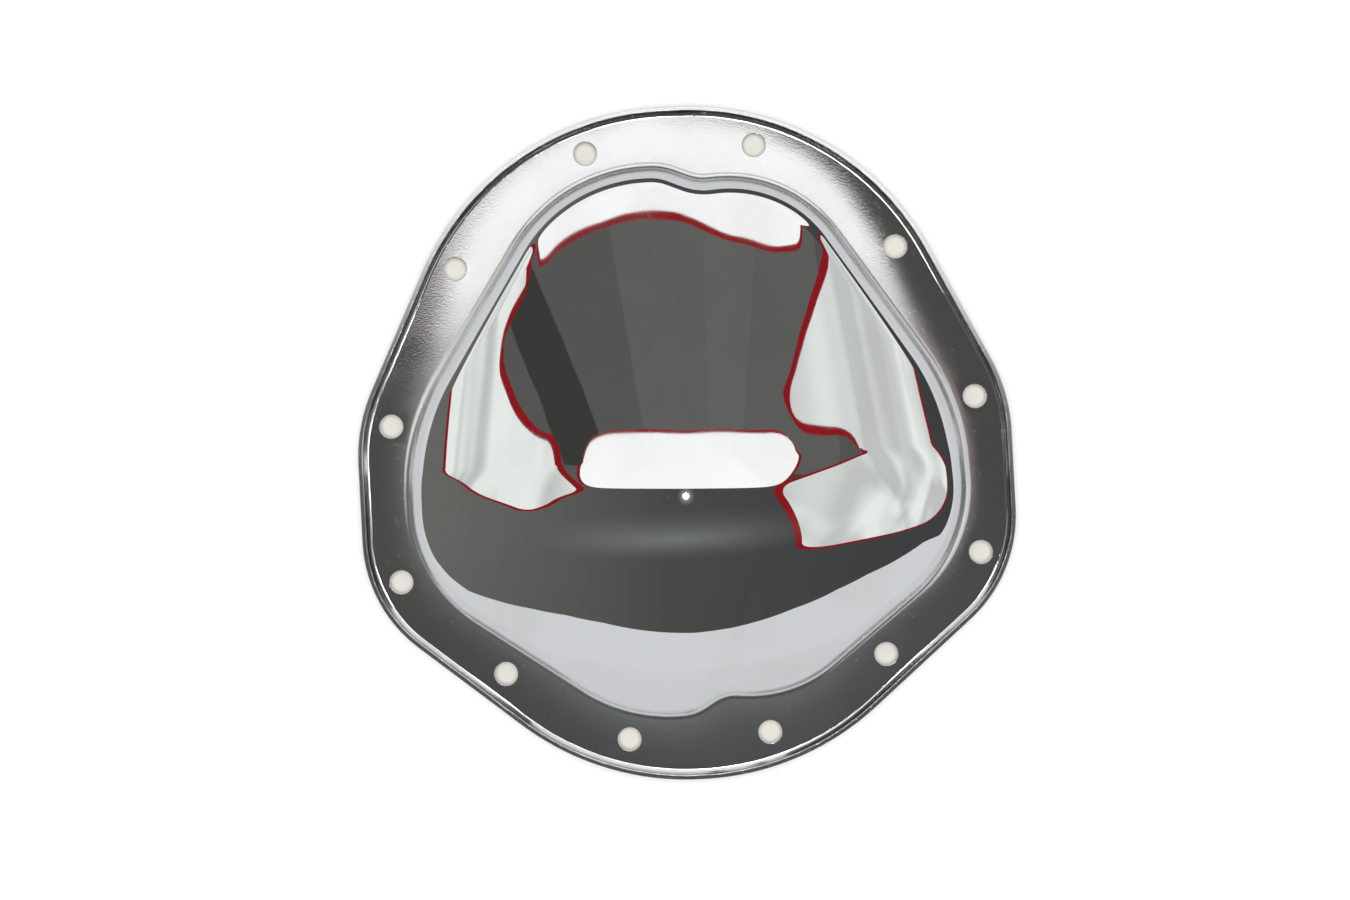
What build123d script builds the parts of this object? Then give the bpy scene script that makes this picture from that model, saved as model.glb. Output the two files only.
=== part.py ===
# Differential cover pressed from one steel sheet: flat bolting flange, upturned lip, tall dome.
# Millimetres. X across the axle, Y up the vehicle, Z out of the gasket face, which lies on Z = 0.
import os
from math import acos, asin, atan2, cos, degrees, radians, sin, tan

from build123d import *

os.makedirs("parts", exist_ok=True)

# The sheet
sheet = 2.0  # thickness of flange, lip, wall and crown
upright = 90.0  # degrees from level
bend_strips = 3  # level strips that draw the bends of the lip and of the dome's foot

# Flange outline. Corners are given where straight edges would meet, from the bottom up the right side, as
# shares of the half width and half height. The left side mirrors them. The last number is the share of the
# shorter straight beside the corner that its rounding takes up.
flange_half_width = 135.0
flange_half_height = 138.9
flange_shares = [(0.310, -1.0, 0.978), (1.0, -0.441, 0.361), (1.0, 0.101, 0.215), (0.548, 1.0, 0.954)]

# Lip turned up round the flange
lip_height = 6.0  # from the gasket face to the cut edge
lip_bend = 2.0  # inside radius of the bend

# Bolt holes: one of each mirrored pair, from the top of the cover downwards, in the same shares
bolt_hole_radius = 4.75
bolt_hole_shares = [(0.259, 0.876), (0.676, 0.553), (0.896, 0.095), (0.890, -0.370), (0.584, -0.659), (0.216, -0.873)]

# Dome plan: where the outside of the wall would meet the top of the flange, in the same shares.
# The side that clears the crown wheel stands higher and lower than the other one,
# and a short step joins the two at the top and at the bottom.
dome_top = 0.814
dome_bottom = -0.799
dome_shares = [
    (-0.341, dome_top, 0.847),
    (-0.841, 0.075, 0.435),
    (-0.843, -0.367, 0.472),
    (-0.222, dome_bottom, 0.757),
    (-0.015, dome_bottom, 0.371),
    (0.081, -0.742, 0.387),
    (0.289, -0.765, 0.751),
    (0.850, -0.346, 0.480),
    (0.830, 0.091, 0.408),
    (0.359, 0.787, 0.838),
    (0.081, 0.769, 0.288),
    (-0.030, dome_top, 0.318),
]
wall_draft = 12.0  # degrees that the wall leans inwards
foot_radius = 5.0  # hollow bend between flange and wall, on the outside
shoulder_radius = 9.0  # bend between wall and crown, on the outside
shoulder_flat = 3.0  # the same bend seen from the hollow: one flat, this long on either side

# Crown: a bent spine in the YZ plane, turned about a line parallel to Y
dome_height = 66.0
crown_radius = 200.0  # curve from side to side, at the top of the knee
knee_radius = 65.0
knee_share = -0.158  # place of the knee's highest point, as a share of the flange's half height
knee_turn = 20.0  # degrees that the knee goes on turning below its highest point
top_rim_height = 34.3  # where the straight fall of the spine passes over the top of the dome's plan
low_rim_height = 16.0  # where its lower curve passes over the bottom of the plan
rim_clearance = 18.0  # the crown has closed over the whole wall at this depth below its highest point


def placed(shares):
    return [Vector(share[0] * flange_half_width, share[1] * flange_half_height) for share in shares]


def with_roundings(path, shares):
    """Corners between the path's end points, each with the radius that its share gives."""
    corners = []
    for before, corner, after, share in zip(path, path[1:], path[2:], shares):
        arriving, leaving = corner - before, after - corner
        reach = share[-1] * min(arriving.length, leaving.length)
        corners.append((corner.X, corner.Y, reach / tan(radians(arriving.get_angle(leaving)) / 2)))
    return corners


def rounded_face(corners):
    with BuildSketch() as outline:
        with BuildLine():
            points = [(x, y) for x, y, rounding in corners]
            FilletPolyline(*points, radius=[rounding for x, y, rounding in corners], close=True)
        make_face()
    return outline.sketch


def moved_in(corners, distance):
    """The same outline with every edge moved inwards by the distance."""
    moved = []
    for index, (x, y, rounding) in enumerate(corners):
        before = Vector(*corners[index - 1][:2])
        after = Vector(*corners[(index + 1) % len(corners)][:2])
        corner = Vector(x, y)
        arriving = (corner - before).normalized()
        leaving = (after - corner).normalized()
        inwards = (arriving + leaving).rotate(Axis.Z, upright) * (distance / (1 + arriving.dot(leaving)))
        bulges = arriving.cross(leaving).Z > 0
        new_rounding = rounding - distance if bulges else rounding + distance
        moved.append((x + inwards.X, y + inwards.Y, new_rounding))
    return moved


def curled_form(corners, base, radius, turn, outwards):
    """Solid that leaves its base level and curls up into a wall standing on the corners' outline."""
    reach = radius * tan(radians(turn) / 2)
    with BuildPart() as form:
        for strip in range(bend_strips + 1):
            angle = radians(turn) * strip / bend_strips
            distance = reach - radius * sin(angle)
            with BuildSketch(Plane.XY.offset(base + radius * (1 - cos(angle)))):
                add(rounded_face(moved_in(corners, -distance if outwards else distance)))
        loft(ruled=True)
    return form.part


def crown_form(inset):
    """Solid whose upper surface is the crown, moved inwards by the inset. It ends below the gasket face."""
    knee_y = knee_share * flange_half_height
    knee_centre = Vector(knee_y, dome_height - knee_radius)
    to_top_rim = Vector(dome_top * flange_half_height, top_rim_height) - knee_centre
    upper_slope = asin(knee_radius / to_top_rim.length) - atan2(to_top_rim.Y, to_top_rim.X)
    inwards = Vector(sin(radians(knee_turn)), -cos(radians(knee_turn)))
    to_low_rim = Vector(dome_bottom * flange_half_height, low_rim_height) - (knee_centre - inwards * knee_radius)
    lower_radius = to_low_rim.length ** 2 / (2 * to_low_rim.dot(inwards))
    low_centre = knee_centre + inwards * (lower_radius - knee_radius)
    lower_turn = degrees(acos(-low_centre.Y / lower_radius)) - knee_turn
    fall = Vector(cos(upper_slope), -sin(upper_slope))
    knee_start = knee_centre + Vector(sin(upper_slope), cos(upper_slope)) * (knee_radius - inset)
    top_end = knee_start + fall * 2 * flange_half_height
    axis_height = dome_height - crown_radius
    with BuildPart() as form:
        with BuildSketch(Plane.YZ):
            with BuildLine():
                upper = Line(top_end, knee_start)
                bend = JernArc(upper @ 1, upper % 1, knee_radius - inset, degrees(upper_slope) + knee_turn)
                lower = JernArc(bend @ 1, bend % 1, lower_radius - inset, lower_turn)
                Polyline(lower @ 1, ((lower @ 1).X, axis_height), (top_end.X, axis_height), top_end)
            make_face()
        revolve(axis=Axis((0, 0, axis_height), (0, 1, 0)), revolution_arc=360)
    return form.part


def wall_inset(inset):
    """How far the wall stands inside the dome's plan on the gasket face."""
    return inset / cos(radians(wall_draft)) - sheet * tan(radians(wall_draft))


def dome_form(inset, base):
    """Dome standing on the height given by base, with wall and crown moved inwards by the inset."""
    wall_reach = dome_height - rim_clearance
    with BuildPart() as form:
        for height in (base, wall_reach):
            with BuildSketch(Plane.XY.offset(height)):
                add(rounded_face(moved_in(dome_corners, wall_inset(inset) + height * tan(radians(wall_draft)))))
        loft(ruled=True)
        extrude(form.faces().sort_by(Axis.Z)[-1], amount=rim_clearance + sheet)
        add(crown_form(inset), mode=Mode.INTERSECT)
    return form.part


def shoulder_edges(form, base):
    walls = [face for face in form.faces() if face.bounding_box().min.Z < base + sheet / 2]
    return [edge for face in walls for edge in face.edges() if edge.bounding_box().min.Z > base + sheet]


flange_side = placed(flange_shares)
foot_of_side, top_of_side = Vector(0, flange_side[0].Y), Vector(0, flange_side[-1].Y)
right_corners = with_roundings([foot_of_side, *flange_side, top_of_side], flange_shares)
flange_corners = right_corners + [(-x, y, rounding) for x, y, rounding in reversed(right_corners)]
dome_points = placed(dome_shares)
dome_corners = with_roundings([dome_points[-1], *dome_points, dome_points[0]], dome_shares)
bolt_holes = [(hole.X, hole.Y) for hole in placed(bolt_hole_shares)]

with BuildPart() as differential_cover:
    # Block that curls up at its edge, emptied above the sheet: what is left is the flange and its lip
    add(curled_form(flange_corners, 0, lip_bend + sheet, upright, outwards=False))
    extrude(differential_cover.faces().sort_by(Axis.Z)[-1], amount=lip_height - lip_bend - sheet)
    lip_inside = moved_in(flange_corners, sheet)
    add(curled_form(lip_inside, sheet, lip_bend, upright, outwards=False), mode=Mode.SUBTRACT)
    with BuildSketch(Plane.XY.offset(sheet + lip_bend)):
        add(rounded_face(lip_inside))
    extrude(amount=lip_height, mode=Mode.SUBTRACT)

    # Dome raised from the flange, with the hollow bend at its foot
    dome = dome_form(0, sheet)
    add(dome.fillet(shoulder_radius, shoulder_edges(dome, sheet)))
    add(curled_form(dome_corners, sheet, foot_radius, upright - wall_draft, outwards=True))

    # The same dome moved inwards by the sheet makes the hollow
    hollow = dome_form(sheet, 0)
    add(hollow.chamfer(shoulder_flat, None, shoulder_edges(hollow, 0)), mode=Mode.SUBTRACT)
    mouth = moved_in(dome_corners, wall_inset(sheet))
    mouth_form = curled_form(mouth, 0, foot_radius + sheet, upright - wall_draft, outwards=True)
    add(mouth_form, mode=Mode.SUBTRACT)

    # Bolt holes, each beside its mirror image
    with BuildSketch():
        with Locations(*bolt_holes, *[(-x, y) for x, y in bolt_holes]):
            Circle(bolt_hole_radius)
    extrude(amount=sheet, mode=Mode.SUBTRACT)

differential_cover.part.label = "differential_cover"
export_step(differential_cover.part, "parts/differential_cover.step")
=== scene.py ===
import math
import bpy
import numpy as np
from mathutils.geometry import tessellate_polygon
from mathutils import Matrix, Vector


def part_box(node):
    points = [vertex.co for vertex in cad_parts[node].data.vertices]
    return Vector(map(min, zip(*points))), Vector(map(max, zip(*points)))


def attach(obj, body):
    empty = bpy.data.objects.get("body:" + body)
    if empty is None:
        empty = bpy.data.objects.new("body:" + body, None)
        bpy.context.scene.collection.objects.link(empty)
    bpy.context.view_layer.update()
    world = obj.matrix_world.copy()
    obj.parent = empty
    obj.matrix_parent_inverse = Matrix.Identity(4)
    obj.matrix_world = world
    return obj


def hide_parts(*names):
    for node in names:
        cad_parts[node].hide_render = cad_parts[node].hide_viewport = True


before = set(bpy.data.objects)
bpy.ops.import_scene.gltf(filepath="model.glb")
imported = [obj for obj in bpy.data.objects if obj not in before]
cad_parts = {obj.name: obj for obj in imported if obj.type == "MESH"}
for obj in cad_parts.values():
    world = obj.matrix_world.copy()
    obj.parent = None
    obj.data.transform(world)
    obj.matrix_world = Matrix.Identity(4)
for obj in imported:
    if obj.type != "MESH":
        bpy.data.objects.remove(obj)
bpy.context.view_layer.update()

# Chromed cover for the back of an axle, lying on its gasket face and seen from straight above.
# Shapes are worked out in millimetres and turned into metres when they become meshes.

millimetre = 0.001
tiny = 1e-9  # least length that anything is divided by
coverNode = "differential_cover"
lowCorner, highCorner = (np.array(corner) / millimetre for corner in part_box(coverNode))
halfWidth, halfHeight = (highCorner[:2] - lowCorner[:2]) / 2
domeHeight = highCorner[2]
print("frame: %.1f x %.1f x %.1f mm" % (2 * halfWidth, 2 * halfHeight, domeHeight))

sheetSettings = {
    "thickness": 2.0,
    "lipHeight": 6.0,
    "lipBend": 2.0,  # inside radius
    "cutEdge": 0.35,  # rounding of the lip's cut edge
    "holeRadius": 4.75,
    "holeEdge": 0.35,  # rounding of the punched edges
    # the flange isn't quite flat: degrees by which its normals lean near the dome's foot and near the lip, and by
    # which all of them lean towards the bottom of the picture, in the middle and more per half width
    "footTilt": 6.0,
    "lipTilt": 1.4,
    "fall": 1.5,
    "twist": 2.3,
    # corners up the right side: share of half width, share of half height, share of the shorter straight rounded off
    "flangeCorners": [(0.310, -1.0, 0.978), (1.0, -0.441, 0.361), (1.0, 0.101, 0.215), (0.548, 1.0, 0.954)],
    # one hole of each mirrored pair, in the same shares
    "holes": [(0.259, 0.876), (0.676, 0.553), (0.896, 0.095), (0.890, -0.370), (0.584, -0.659), (0.216, -0.873)],
}

domeSettings = {
    "corners": [(-0.341, 0.814, 0.847), (-0.841, 0.075, 0.435), (-0.843, -0.367, 0.472), (-0.222, -0.799, 0.757),
                (-0.015, -0.799, 0.371), (0.081, -0.742, 0.387), (0.289, -0.765, 0.751), (0.850, -0.346, 0.480),
                (0.830, 0.091, 0.408), (0.359, 0.787, 0.838), (0.081, 0.769, 0.288), (-0.030, 0.814, 0.318)],
    "draft": 12.0,  # degrees that the wall leans inwards
    "footRadius": 5.0,
    "shoulderRadius": 9.0,
    "crownRadius": 200.0,
    "kneeRadius": 65.0,
    "kneeShare": -0.158,  # the crown's peak, as a share of the half height
    "kneeTurn": 20.0,  # degrees that the knee goes on past the peak
    "topRim": 34.3,  # height of the spine over the top of the plan
    "lowRim": 16.0,  # and over its bottom
    # polishing softened the bends, so in the shading the wall leans more than it does: degrees that its normals lean
    # from straight up, the share of the foot's bend that brings them there, and the power that makes them lean early
    "softWall": 39.5,
    "footShare": 0.5,
    "footEasing": 0.7,
}

meshSettings = {
    "columns": 440,
    "roundingSteps": 96,  # points of every rounding and every straight of an outline
    "crownRows": 64,
    "shoulderRows": 14,
    "wallRows": 6,
    "footRows": 12,
    "flangeRows": 10,
    "lipRows": 8,  # of its inner bend
    "outerLipRows": 10,
    "edgeRows": 4,
    "holeSteps": 36,
    "holeMargin": 1.2,  # mm kept free round a hole
    "backSkip": 3,  # the hidden side of the crown has one row in so many
    "ballFloor": -30.0,  # mm, where the search for the shoulder's ball starts
    "ballHalvings": 40,
}


# How far from each corner its rounding starts: its share of the shorter straight beside it.
def roundingReaches(path, shares):
    return [share[2] * min(np.linalg.norm(corner - before), np.linalg.norm(after - corner))
            for before, corner, after, share in zip(path, path[1:], path[2:], shares)]


# Closed outline with rounded corners, as points and outward normals. The radius of a rounding is its reach
# over the tangent of half the turn, negative where the outline is hollow. Straights get samples too.
def roundedOutline(corners, reaches):
    steps = meshSettings["roundingSteps"]
    roundings, roundingNormals = [], []
    for index, (corner, reach) in enumerate(zip(corners, reaches)):
        arriving, leaving = corner - corners[index - 1], corners[(index + 1) % len(corners)] - corner
        arriving, leaving = arriving / np.linalg.norm(arriving), leaving / np.linalg.norm(leaving)
        turn = math.atan2(arriving[0] * leaving[1] - arriving[1] * leaving[0], arriving @ leaving)
        radius = reach / math.tan(turn / 2)
        outward = np.array([arriving[1], -arriving[0]])
        angles = math.atan2(outward[1], outward[0]) + np.linspace(0, turn, steps)
        rim = np.stack([np.cos(angles), np.sin(angles)], 1)
        roundings.append(corner - arriving * reach + radius * (rim - outward))
        roundingNormals.append(rim)
    points, normals = [], []
    for index, (rounding, rim) in enumerate(zip(roundings, roundingNormals)):
        nextStart = roundings[(index + 1) % len(roundings)][0]
        along = np.linspace(0, 1, steps)[1:-1, None]
        points += [rounding, rounding[-1] + (nextStart - rounding[-1]) * along]
        normals += [rim, np.repeat(rim[-1:], steps - 2, 0)]
    return np.concatenate(points), np.concatenate(normals)


# The outline seen from the middle: for every column's angle, the point where its ray crosses and the normal there.
def alongRays(outline, columnAngles):
    points, normals = outline
    angles = np.arctan2(points[:, 1], points[:, 0])
    crossing = [np.interp(columnAngles, *sortedBy(angles, values), period=2 * math.pi)
                for values in (*points.T, *normals.T)]
    normal = np.stack(crossing[2:], 1)
    return np.stack(crossing[:2], 1), normal / np.linalg.norm(normal, axis=1, keepdims=True)


# Angles in rising order, each with its value.
def sortedBy(angles, values):
    order = np.argsort(angles)
    return angles[order], values[order]


# Shares times the half width and the half height.
def sharesToPoints(shares):
    return [np.array([share[0] * halfWidth, share[1] * halfHeight]) for share in shares]


# The straights at the flange's top and bottom end on the mirror line, so a corner there takes its share of half.
def flangeOutline():
    shares = sheetSettings["flangeCorners"]
    right = sharesToPoints(shares)
    reaches = roundingReaches([right[0] * [0, 1], *right, right[-1] * [0, 1]], shares)
    return roundedOutline(right + [corner * [-1, 1] for corner in reversed(right)], reaches + reaches[::-1])


# The dome's corners run all the way round, so the last one is the first one's neighbour.
def domeOutline():
    shares = domeSettings["corners"]
    corners = sharesToPoints(shares)
    return roundedOutline(corners, roundingReaches([corners[-1], *corners, corners[0]], shares))


# Rise of a circle above its centre: root of the radius squared less the way squared. Beyond its end it stays at 1 mm.
def circleRise(radius, way):
    return np.sqrt(np.maximum(radius ** 2 - way ** 2, 1.0))


# Spine of the crown: a straight fall towards the top, a knee, then a wider curve to the bottom rim.
# The inset moves all three inwards. Gives the height at y and the slope there. The plan's first corner lies on its
# top line and its fourth on its bottom line.
def spineAt(y, inset):
    crown = domeSettings
    planTop, planBottom = crown["corners"][0][1] * halfHeight, crown["corners"][3][1] * halfHeight
    kneeCentre = np.array([crown["kneeShare"] * halfHeight, domeHeight - crown["kneeRadius"]])
    toTop = np.array([planTop, crown["topRim"]]) - kneeCentre
    slope = math.asin(crown["kneeRadius"] / np.linalg.norm(toTop)) - math.atan2(toTop[1], toTop[0])
    turn = math.radians(crown["kneeTurn"])
    inwards = np.array([math.sin(turn), -math.cos(turn)])
    toLow = np.array([planBottom, crown["lowRim"]]) - (kneeCentre - inwards * crown["kneeRadius"])
    lowRadius = toLow @ toLow / (2 * toLow @ inwards)
    lowCentre = kneeCentre + inwards * (lowRadius - crown["kneeRadius"])
    knee, low = crown["kneeRadius"] - inset, lowRadius - inset
    kneeStart = kneeCentre + np.array([math.sin(slope), math.cos(slope)]) * knee
    kneeEnd = kneeCentre - inwards * knee
    kneeRise = circleRise(knee, y - kneeCentre[0])
    lowRise = circleRise(low, y - lowCentre[0])
    height = np.where(y > kneeStart[0], kneeStart[1] - (y - kneeStart[0]) * math.tan(slope),
                      np.where(y > kneeEnd[0], kneeCentre[1] + kneeRise, lowCentre[1] + lowRise))
    grade = np.where(y > kneeStart[0], -math.tan(slope),
                     np.where(y > kneeEnd[0], (kneeCentre[0] - y) / kneeRise, (lowCentre[0] - y) / lowRise))
    return height, grade


# The spine turned about a line parallel to Y: height is axis + root(reach squared - x squared),
# and the normal is (x, -reach times grade, height - axis) made unit long.
def crownAt(place, inset=0.0):
    axis = domeHeight - domeSettings["crownRadius"]
    height, grade = spineAt(place[..., 1], inset)
    reach = height - axis
    rise = circleRise(reach, place[..., 0])
    normal = np.stack([place[..., 0], -reach * grade, rise], -1)
    return axis + rise, normal / np.linalg.norm(normal, axis=-1, keepdims=True)


# Flat places or directions with a third number added, one for all or one for each.
def upright(flat, z):
    return np.concatenate([flat, np.broadcast_to(np.asarray(z, float)[..., None], flat.shape[:-1] + (1,))], -1)


# Points of a circle of radius 1 at even angles.
def unitCircle(sides):
    around = np.arange(sides) * 2 * math.pi / sides
    return np.stack([np.cos(around), np.sin(around)], 1)


# Unit vectors on the way from one to the other: each weighted by the sine of the angle left to the other's side.
def swung(first, second, part):
    swing = np.arccos(np.clip((first * second).sum(-1), -1, 1))[..., None]
    return (first * np.sin((1 - part) * swing) + second * np.sin(part * swing)) / np.sin(swing)


# Centre of the ball that rolls between wall and crown and keeps its radius inside both, as a plan and a height.
# A low ball lies clear under the crown and a high one breaks through, so halving the range finds where it touches.
def ballCentre(plan, normal):
    draft, ball = math.radians(domeSettings["draft"]), domeSettings["shoulderRadius"]
    low, high = np.full(len(plan), meshSettings["ballFloor"]), np.full(len(plan), domeHeight)
    for _ in range(meshSettings["ballHalvings"]):
        middle = (low + high) / 2
        inset = ball / math.cos(draft) + (middle - sheetSettings["thickness"]) * math.tan(draft)
        centre = plan - normal * inset[:, None]
        below = middle < crownAt(centre, ball)[0]
        low, high = np.where(below, middle, low), np.where(below, high, middle)
    return centre, middle


# Nothing leans past the soft wall: the level part of a steeper normal is cut to the sine of its lean.
def leanCapped(normals, lean):
    level = np.linalg.norm(normals[..., :2], axis=-1, keepdims=True)
    cut = np.minimum(1, math.sin(lean) / np.maximum(level, tiny))
    return np.concatenate([normals[..., :2] * cut, np.maximum(normals[..., 2:], math.cos(lean))], -1)


# Skin of the dome in rows from crown to foot: places, true normals, normals for shading and how polished each row
# is, 1 on the dome and 0 on the flange. Last come the place and normal of the crown's peak.
def domeSkin(columnAngles):
    dome, mesh = domeSettings, meshSettings
    sheet = sheetSettings["thickness"]
    draft, softLean = math.radians(dome["draft"]), math.radians(dome["softWall"])
    plan, normal = alongRays(domeOutline(), columnAngles)
    wallNormal = upright(normal * math.cos(draft), math.sin(draft))
    softNormal = upright(normal * math.sin(softLean), math.cos(softLean))
    # shoulder: normals swing from the crown's to the wall's at an even rate, places lie one radius from the ball
    centre, height = ballCentre(plan, normal)
    crownNormal = crownAt(centre, dome["shoulderRadius"])[1]
    part = np.linspace(0, 1, mesh["shoulderRows"])[:, None, None]
    shoulderNormals = swung(crownNormal, wallNormal, part)
    softShoulder = swung(crownNormal, softNormal, part)
    shoulder = upright(centre, height) + dome["shoulderRadius"] * shoulderNormals
    # crown: from its peak out to the shoulder's first row
    peak = np.array([0.0, dome["kneeShare"] * halfHeight])
    part = np.linspace(0, 1, mesh["crownRows"] + 1)[1:-1, None, None]
    crownPlan = peak + (shoulder[0, :, :2] - peak) * part
    crownHeight, crownNormals = crownAt(crownPlan)
    # foot: hollow bend centred above the flange; its normal swings from the wall's to straight up
    foot = dome["footRadius"]
    turn = np.linspace(math.pi / 2 - draft, 0, mesh["footRows"])[:, None]
    reach = foot * math.tan((math.pi / 2 - draft) / 2) - foot * np.sin(turn)
    footPlaces = upright(plan + normal * reach[..., None], sheet + foot * (1 - np.cos(turn)) + 0 * plan[:, 0])
    footNormals = upright(normal * np.sin(turn)[..., None], np.cos(turn) + 0 * plan[:, 0])
    share = np.minimum(turn / turn[0] / dome["footShare"], 1)[..., None] ** dome["footEasing"]
    softFoot = swung(np.array([0.0, 0.0, 1.0]), softNormal, share)
    # wall: straight between them
    part = np.linspace(0, 1, mesh["wallRows"])[1:-1, None, None]
    wall = shoulder[-1] + (footPlaces[0] - shoulder[-1]) * part
    places = np.concatenate([upright(crownPlan, crownHeight), shoulder, wall, footPlaces])
    normals = np.concatenate([crownNormals, shoulderNormals, np.broadcast_to(wallNormal, wall.shape), footNormals])
    softNormals = np.concatenate([crownNormals, softShoulder, np.broadcast_to(softNormal, wall.shape), softFoot])
    polish = np.concatenate([np.ones(len(places) - mesh["footRows"]), np.linspace(1, 0, mesh["footRows"])])
    peakHeight, peakNormal = crownAt(peak)
    return places, normals, leanCapped(softNormals, softLean), polish, (upright(peak, peakHeight), peakNormal)


# Lip: up the inner bend, up its inside, over the rounded cut edge, down the outside and round the outer bend.
# Each row of the profile is the way out from the rim, the height, the normal's two parts and 1 on the cut edge.
def lipSkin(columnAngles):
    sheet, mesh = sheetSettings, meshSettings
    rim, normal = alongRays(flangeOutline(), columnAngles)
    thickness, bend, height, edge = sheet["thickness"], sheet["lipBend"], sheet["lipHeight"], sheet["cutEdge"]
    centre = thickness + bend  # bend centre, this far inside the rim and this far up
    quarter = np.linspace(0, math.pi / 2, mesh["lipRows"])
    inner = [(-centre + bend * math.sin(turn), centre - bend * math.cos(turn), -math.sin(turn), math.cos(turn), 0.0)
             for turn in quarter]
    quarter = np.linspace(0, math.pi / 2, mesh["edgeRows"])
    nearEdge = [(-thickness + edge - edge * math.cos(turn), height - edge + edge * math.sin(turn),
                 -math.cos(turn), math.sin(turn), 1.0) for turn in quarter]
    farEdge = [(-edge + edge * math.sin(turn), height - edge + edge * math.cos(turn),
                math.sin(turn), math.cos(turn), 1.0) for turn in quarter]
    quarter = np.linspace(0, math.pi / 2, mesh["outerLipRows"])
    outer = [(-centre + centre * math.cos(turn), centre - centre * math.sin(turn), math.cos(turn), -math.sin(turn), 0.0)
             for turn in quarter]
    profile = np.array(inner + nearEdge + farEdge + outer)
    places = upright(rim + normal * profile[:, 0][:, None, None], profile[:, 1][:, None] + 0 * rim[:, 0])
    normals = upright(normal * profile[:, 2][:, None, None], profile[:, 3][:, None] + 0 * rim[:, 0])
    return places, normals, profile[:, 4]


# Hole rims: over the upper punched edge, down the bore, round the lower edge, for all holes at once.
def holeSkin(holeCentres):
    sheet = sheetSettings
    radius, edge, thickness = sheet["holeRadius"], sheet["holeEdge"], sheet["thickness"]
    spoke = unitCircle(meshSettings["holeSteps"])
    quarter = np.linspace(0, math.pi / 2, meshSettings["edgeRows"])
    upper = [(radius + edge - edge * math.sin(turn), thickness - edge + edge * math.cos(turn),
              -math.sin(turn), math.cos(turn)) for turn in quarter]
    lower = [(radius + edge - edge * math.cos(turn), edge - edge * math.sin(turn),
              -math.cos(turn), -math.sin(turn)) for turn in quarter]
    profile = np.array(upper + lower)
    places = holeCentres[:, None, None, :] + spoke * profile[None, :, 0, None, None]
    normals = np.broadcast_to(spoke * profile[None, :, 2, None, None], places.shape)
    return (upright(places, profile[None, :, 1, None] + 0 * places[..., 0]),
            upright(normals, profile[None, :, 3, None] + 0 * places[..., 0]))


# Flange in rows at even shares of the way from the dome's foot to the lip.
def flangeSkin(footRow, lipRow):
    across = np.linspace(0, 1, meshSettings["flangeRows"] + 1)[1:-1, None, None]
    places = footRow + (lipRow - footRow) * across
    return places, flangeNormals(places, lipRow - footRow, across)


# Its normals lean away from the dome near the foot and away from the lip near the lip: tilt times the square of
# the nearness. The fall and the twist lean all of them.
def flangeNormals(places, outward, across):
    sheet = sheetSettings
    outward = outward[..., :2] / np.linalg.norm(outward[..., :2], axis=-1, keepdims=True)
    tilt = np.radians(sheet["footTilt"] * (1 - across) ** 2 - sheet["lipTilt"] * across ** 2)
    fall = np.radians(sheet["fall"] + sheet["twist"] * places[..., 0] / halfWidth)
    lean = outward * np.tan(tilt) - np.stack([0 * fall, np.tan(fall)], -1)
    normals = upright(lean, 1.0)
    return normals / np.linalg.norm(normals, axis=-1, keepdims=True)


# Faces of the flange: quads between its rows, but triangles from a block of them down to the rim round every hole.
def flangeFaces(numbers, places, rims, holeCentres):
    columns = numbers.shape[1]
    kept = np.ones((len(numbers) - 1, columns), bool)
    reach = sheetSettings["holeRadius"] + sheetSettings["holeEdge"] + meshSettings["holeMargin"]
    triangles = []
    for centre, rim in zip(holeCentres, rims):
        near = np.linalg.norm(places[numbers][..., :2] - centre, axis=-1) < reach
        rows = np.flatnonzero(near.any(1))
        middle = int(round((math.atan2(centre[1], centre[0]) + math.pi) / (2 * math.pi) * columns))
        turned = np.flatnonzero(np.roll(near.any(0), columns // 2 - middle))
        around = (np.arange(turned[0] - 1, turned[-1] + 2) + middle - columns // 2) % columns
        low, high = max(rows[0] - 1, 0), min(rows[-1] + 1, len(numbers) - 1)
        kept[np.ix_(np.arange(low, high), around[:-1])] = False
        block = numbers[low:high + 1][:, around]
        edge = np.concatenate([block[:, 0], block[-1, 1:], block[-2::-1, -1], block[0, -2:0:-1]])
        triangles.append(zipped(places[:, :2] - centre, edge, rim))
    quads = stitched(numbers).reshape(len(numbers) - 1, columns, 4)
    return quads[kept], np.concatenate(triangles)


# Triangles between two rings of point numbers, one round the other. Their edges are taken in the order of the
# angle at their middles, and each makes a triangle with the point that the other ring has reached.
def zipped(flat, outer, inner):
    start = flat[outer[0]]
    nearest = np.argmax(flat[inner] @ start / np.linalg.norm(flat[inner], axis=1))
    inner = np.roll(inner, -nearest)
    middles = []
    for ring in (outer, inner):
        angles = np.unwrap(np.arctan2(flat[ring][:, 1], flat[ring][:, 0]) - math.atan2(start[1], start[0]))
        angles = np.append(angles, angles[0] + 2 * math.pi) - 2 * math.pi * round(angles[0] / (2 * math.pi))
        middles.append((angles[1:] + angles[:-1]) / 2)
    order = np.argsort(np.concatenate(middles), kind="stable")
    onOuter = order < len(outer)
    outerAt, innerAt = np.cumsum(onOuter) - onOuter, np.cumsum(~onOuter) - ~onOuter
    third = np.where(onOuter, outer[(outerAt + 1) % len(outer)], inner[(innerAt + 1) % len(inner)])
    return np.stack([outer[outerAt % len(outer)], third, inner[innerAt % len(inner)]], 1)


# Quads between neighbouring rows of point numbers, closed round.
def stitched(numbers):
    first, second = numbers[:-1], numbers[1:]
    return np.stack([first, second, np.roll(second, -1, 1), np.roll(first, -1, 1)], -1).reshape(-1, 4)


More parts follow.
